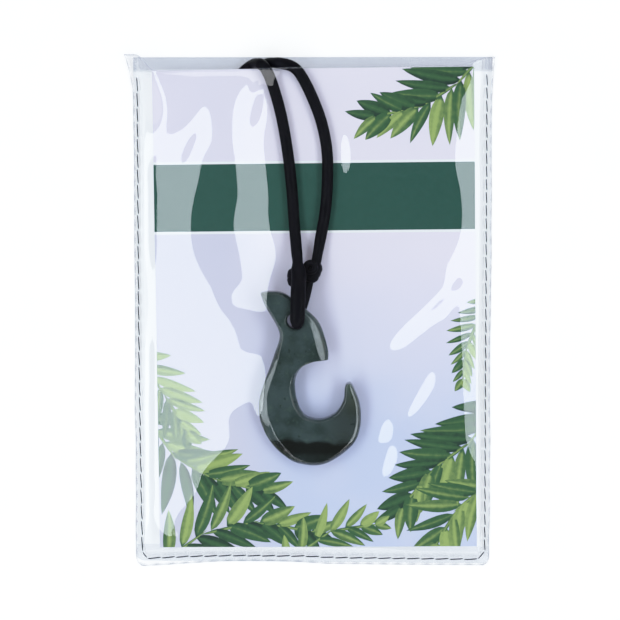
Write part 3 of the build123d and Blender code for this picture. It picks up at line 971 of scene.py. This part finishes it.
for vert in film.verts:
    x, y, z = vert.co
    into = Vector((abs(x) - (HALF_WIDTH - CORNER), -y - (HALF_LENGTH - CORNER)))
    if into.x > 0 and into.y > 0:
        into = into.normalized() * max(into.x, into.y)
        x = (HALF_WIDTH - CORNER + into.x) * (1 if x > 0 else -1)
        y = -(HALF_LENGTH - CORNER + into.y)
    near_edge = ease((abs(x) - 50) / 5)
    x += near_edge * WAVER * noise.noise((0.2 if x > 0 else 5.2, y / 14, 0.5))
    curl = max(0.0, (y - CURL_FROM) / (HALF_LENGTH - CURL_FROM)) ** 2
    x += near_edge * curl * (RIGHT_OUT if x > 0 else -PEEL_OUT)
    z += near_edge * curl * ease((abs(x) - 54) / 2) * (RIGHT_UP if x > 0 else PEEL_UP)
    y -= curl * read_at(mouth_dip, x)
    hang = max(0.0, FOOT_WALL_AT - y) / (HALF_LENGTH + FOOT_WALL_AT)
    y -= hang * read_at(foot_sag, x)
    vert.co = Vector((x, y, z)) * MM
print("film points", len(film.verts))

# %% [markdown]
# Clear vinyl lets almost all light through and mirrors a little, more so at a glancing angle. The
# power of Facing gives that, and it mixes a bright thin gloss over a transparent shader. Rims get a
# painted grey edge shade. The back film gets painted grey shade at the mouth and a little at the
# foot.

# %% Film
vinyl = Finish("clear_vinyl")
facing = vinyl.add("ShaderNodeLayerWeight", None, {"Blend": 0.5}).out("Facing")
mirror = facing.power(5.0) * 0.85 + 0.035
clear = vinyl.add("ShaderNodeBsdfTransparent", None, {"Color": (0.996, 0.997, 0.999, 1)})
glossy = vinyl.add("ShaderNodeBsdfGlossy", None, {"Color": (1, 1, 1, 1), "Roughness": 0.02})
film_mix = vinyl.add("ShaderNodeMixShader", None, {0: mirror, 1: clear, 2: glossy})
rim_share = vinyl.add("ShaderNodeAttribute", {"attribute_name": "rim"}).out("Fac")
# painted edge shade: the cut edges and the peeled corner get a grey diffuse mixed in
painted_edge_share = rim_share.power(1.4) * 0.5
painted_edge_grey = vinyl.add("ShaderNodeBsdfDiffuse", None, {"Color": shade(190, 193, 206)})
rimmed = vinyl.add("ShaderNodeMixShader", None, {0: painted_edge_share, 1: film_mix, 2: painted_edge_grey})
film_finish = vinyl.show(rimmed)

backing = Finish("back_vinyl")
y = backing.place()[2]
# painted shade: the back film turns grey past the card's top edge, and a little below its foot
painted_shade_at_foot = (-73.9 * MM - y).ramp(0, 0.6 * MM, 0, 0.1)
painted_shade_share = (y - 74.6 * MM).ramp(0, 1.5 * MM, 0.02, 0.36) + painted_shade_at_foot
through_back = backing.add("ShaderNodeBsdfTransparent", None, {"Color": (0.97, 0.984, 1, 1)})
grey = backing.add("ShaderNodeBsdfDiffuse", None, {"Color": shade(176, 178, 192)})
back_mix = backing.add("ShaderNodeMixShader", None, {0: painted_shade_share, 1: through_back, 2: grey})
back_finish = backing.show(back_mix)
front = piece("film_front", film, film_finish)
thickness = front.modifiers.new("thickness", "SOLIDIFY")
thickness.thickness = FILM * MM
thickness.offset = 1.0
bake(front)
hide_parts("pouch_front")
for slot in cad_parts["pouch_back"].material_slots:
    slot.material = back_finish

# %% [markdown]
# The two films are sewn together with dark thread. Each stitch shows as a short dash that dips into
# its two needle holes, along the pouch's sides, its bowed foot and the two slanting corners. It is a
# six-sided tube that grows from one needle hole to the other.

# %% Stitches
thread_shape = bmesh.new()
# Each ring of a stitch: its share of the way, its share of the thickness and how high it is lifted
STITCH_RINGS = (
    (0.05, 0.8, 0.3), (0.16, 1, 0.6), (0.5, 1, 0.75), (0.84, 1, 0.6), (0.95, 0.8, 0.3), (1, 0.3, 0),
)


def stitch(start, end, lift, thick):
    """One stitch between two needle holes, in millimetres. Its ends dip into the holes."""
    a, b = Vector(start), Vector(end)
    upright = Vector((*(b - a), 0)).to_track_quat("Z", "Y").to_matrix()
    first = bmesh.ops.create_circle(thread_shape, segments=6, radius=0.3 * thick)["verts"]
    for vert in first:
        vert.co = upright @ vert.co + Vector((a.x, a.y, lift))
    edges = list(dict.fromkeys(e for v in first for e in v.link_edges))
    for share, size, up in STITCH_RINGS:
        ring, edges = grown_ring(thread_shape, edges)
        middle = sum((v.co for v in ring), Vector()) / len(ring)
        target = a.lerp(b, share)
        for vert in ring:
            spoke = (vert.co - middle).normalized() * size * thick / 2
            vert.co = Vector((target.x, target.y, lift + up * thick)) + spoke


def seam(points, pitch, gap, thick, slant=0.0):
    """Stitches along a line of points. slant turns each a little across the line."""
    for a, b in zip(points, points[1:]):
        a, b = Vector(a), Vector(b)
        count = max(1, round((b - a).length / pitch))
        way = (b - a).normalized()
        aside = Vector((-way.y, way.x)) * slant
        for i in range(count):
            start, end = a.lerp(b, i / count), a.lerp(b, (i + 1) / count)
            start, end = start + way * gap / 2 - aside, end - way * gap / 2 + aside
            stitch(start, end, SEAM_LEVEL + FILM, thick)


seam([(-54.7, 73.5), (-54.7, -3), (-54.4, -41.4), (-54.0, -76.6)], 4.8, 0.4, 0.42, 0.14)
seam([(-54.0, -76.6), (-52.4, -78.7)], 3.0, 0.5, 0.4)
foot_line = [
    (-52.4, -78.7), (-39, -78), (-25.4, -77.6), (-2.2, -77.6), (7.1, -78), (52.4, -78.2),
]
seam(foot_line, 4.65, 0.4, 0.44, 0.14)
seam([(52.4, -78.2), (54.5, -75.6)], 3.2, 0.5, 0.4)
seam([(54.5, -75.6), (54.3, 74.5)], 4.1, 0.5, 0.42, 0.12)
bmesh.ops.scale(thread_shape, vec=(MM, MM, MM), verts=thread_shape.verts[:])
bmesh.ops.holes_fill(thread_shape, edges=thread_shape.edges[:])
sewing = Finish("sewing_thread")
ply = sewing.clouds(sewing.point(), 2500.0, 1.0)
thread_tone = sewing.blend(ply, shade(18, 16, 26), shade(40, 37, 50))
sewing_finish = sewing.surface({"Base Color": thread_tone, "Roughness": 0.6})
piece("stitches", thread_shape, sewing_finish)

# %% Sizes and finish
low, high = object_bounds()
print("visual box in mm", [round(v / MM, 1) for v in low], [round(v / MM, 1) for v in high])
